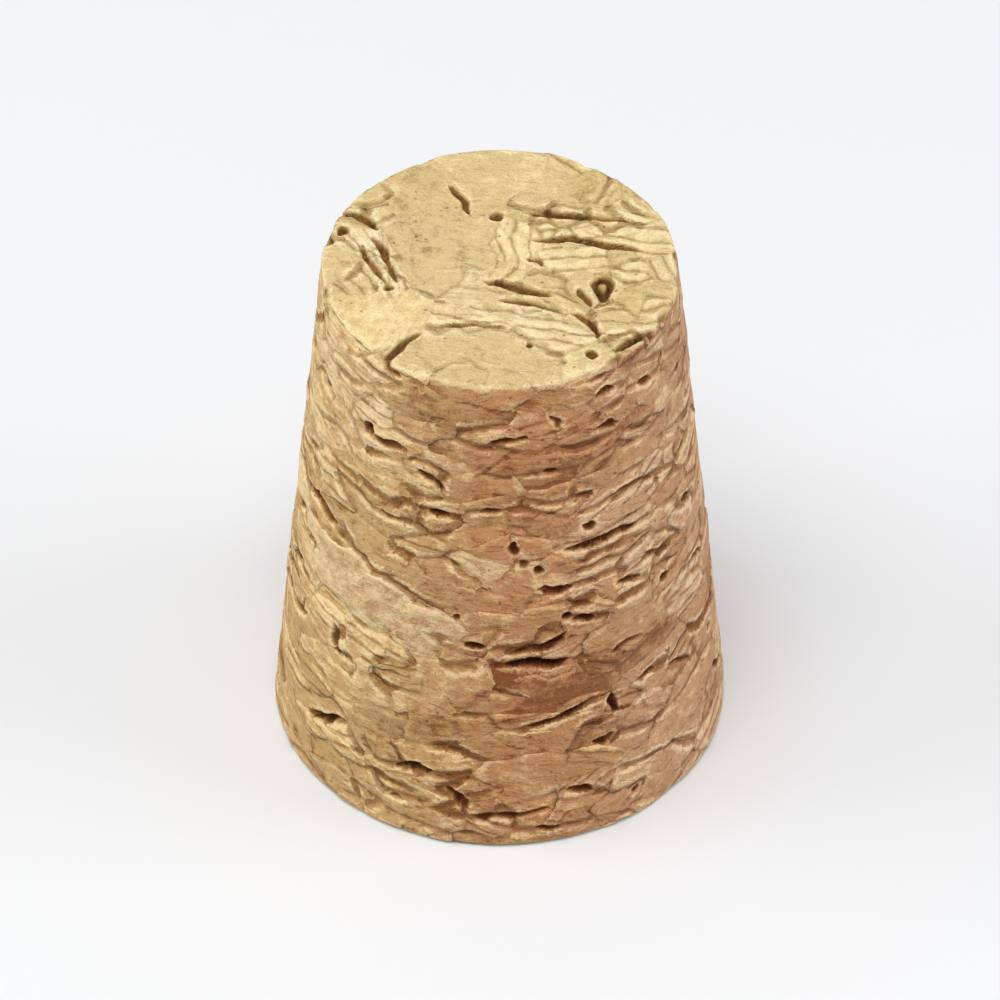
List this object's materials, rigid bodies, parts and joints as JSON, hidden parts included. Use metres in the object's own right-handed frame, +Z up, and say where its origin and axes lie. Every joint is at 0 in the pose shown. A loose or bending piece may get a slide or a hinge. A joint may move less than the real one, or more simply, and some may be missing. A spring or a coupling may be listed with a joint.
{
  "type": "cork stopper",
  "caption": "Tapered round bottle stopper of pressed cork granules, flat on both ends, with open gaps, voids and small rim chips in its ground surface.",
  "frame": {"origin": "centre of the wide end, on the surface it stands on", "axes": "+Z up the stopper's axis towards the narrow end; -Y is the side named front in the source"},
  "size_m": [0.024, 0.024, 0.03],
  "materials": {
    "cork": "matte"
  },
  "bodies": {
    "root": {"stopper": "cork"}
  },
  "joints": []
}
